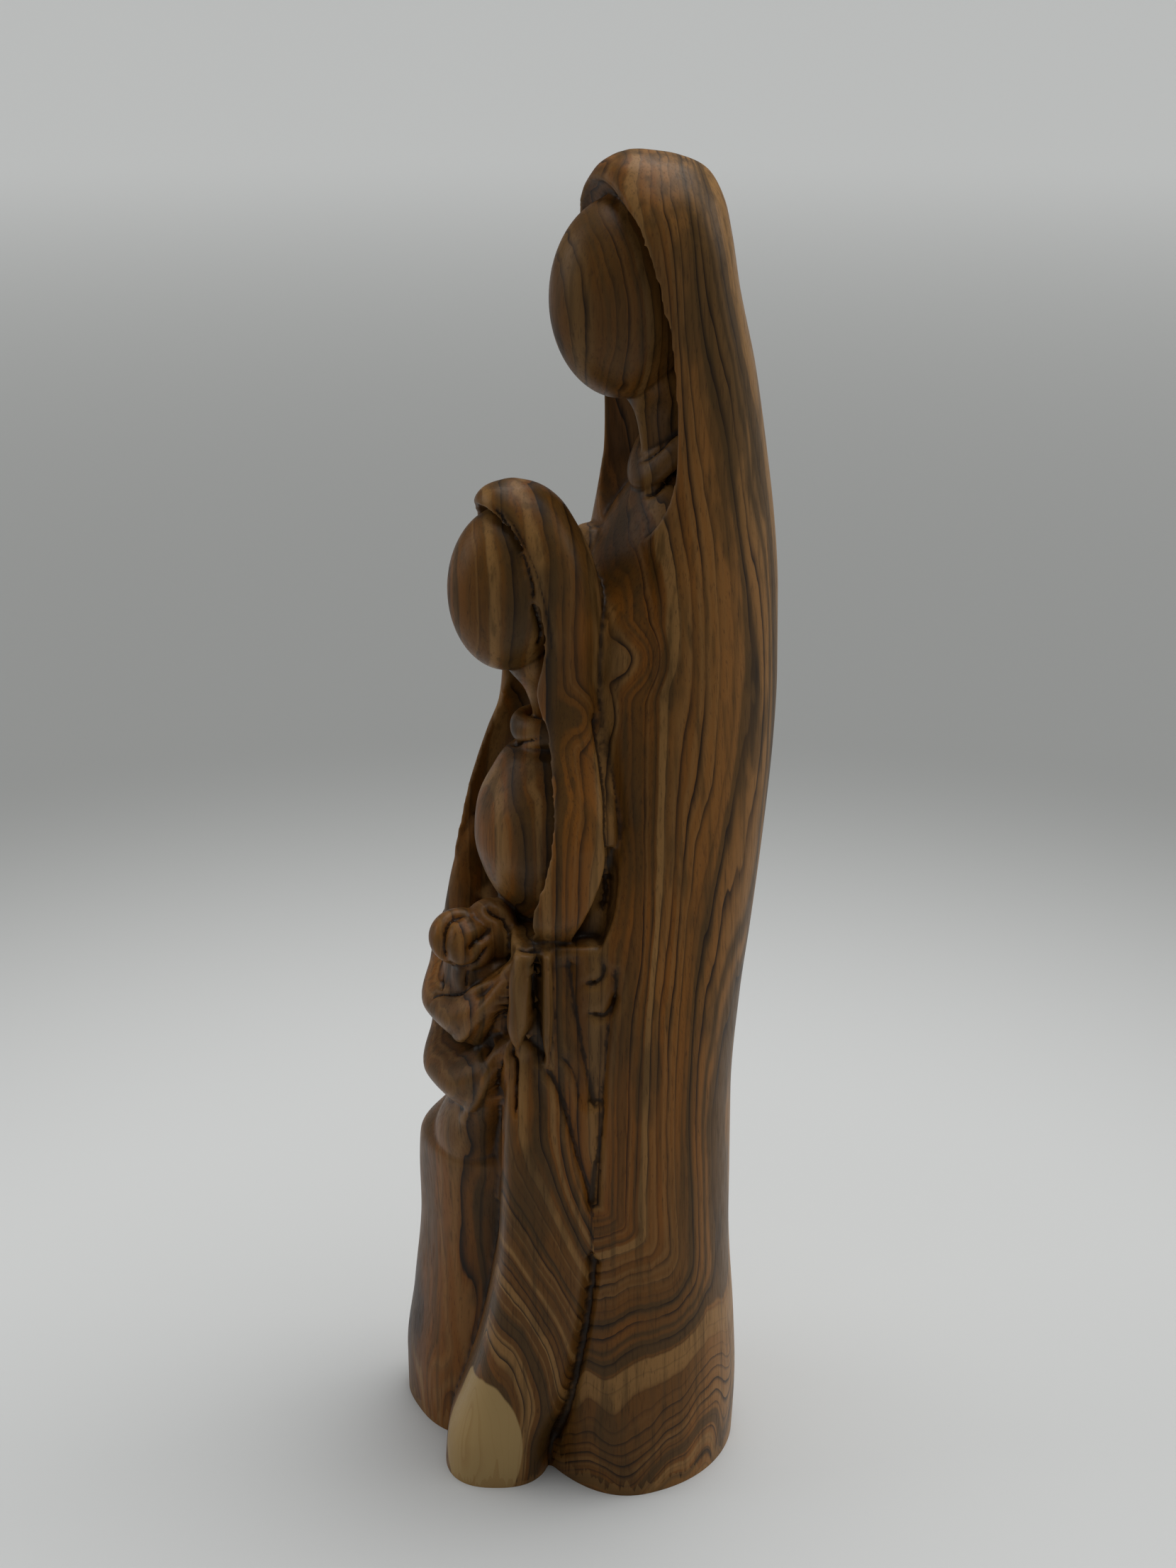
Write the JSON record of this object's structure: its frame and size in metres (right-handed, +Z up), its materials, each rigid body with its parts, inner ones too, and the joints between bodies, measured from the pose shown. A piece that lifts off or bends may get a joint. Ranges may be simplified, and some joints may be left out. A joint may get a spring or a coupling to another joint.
{
  "type": "holy family statue",
  "caption": "Carved olive-wood group, one upright piece: a tall hooded figure behind a smaller one with a swaddled child, faceless, in flowing robes, standing on a flat underside.",
  "frame": {"origin": "on the log's axis, in the flat underside that the group stands on", "axes": "+Z up along the log, -Y the side that the faces look to, +X the side with the forward foot and the ledge"},
  "size_m": [0.0776, 0.0849, 0.3001],
  "materials": {
    "olive_wood": "satin oiled olive wood, dark growth lines running up the log, pale sapwood at its rim"
  },
  "bodies": {
    "root": {"holy_family": "olive_wood"}
  },
  "joints": []
}
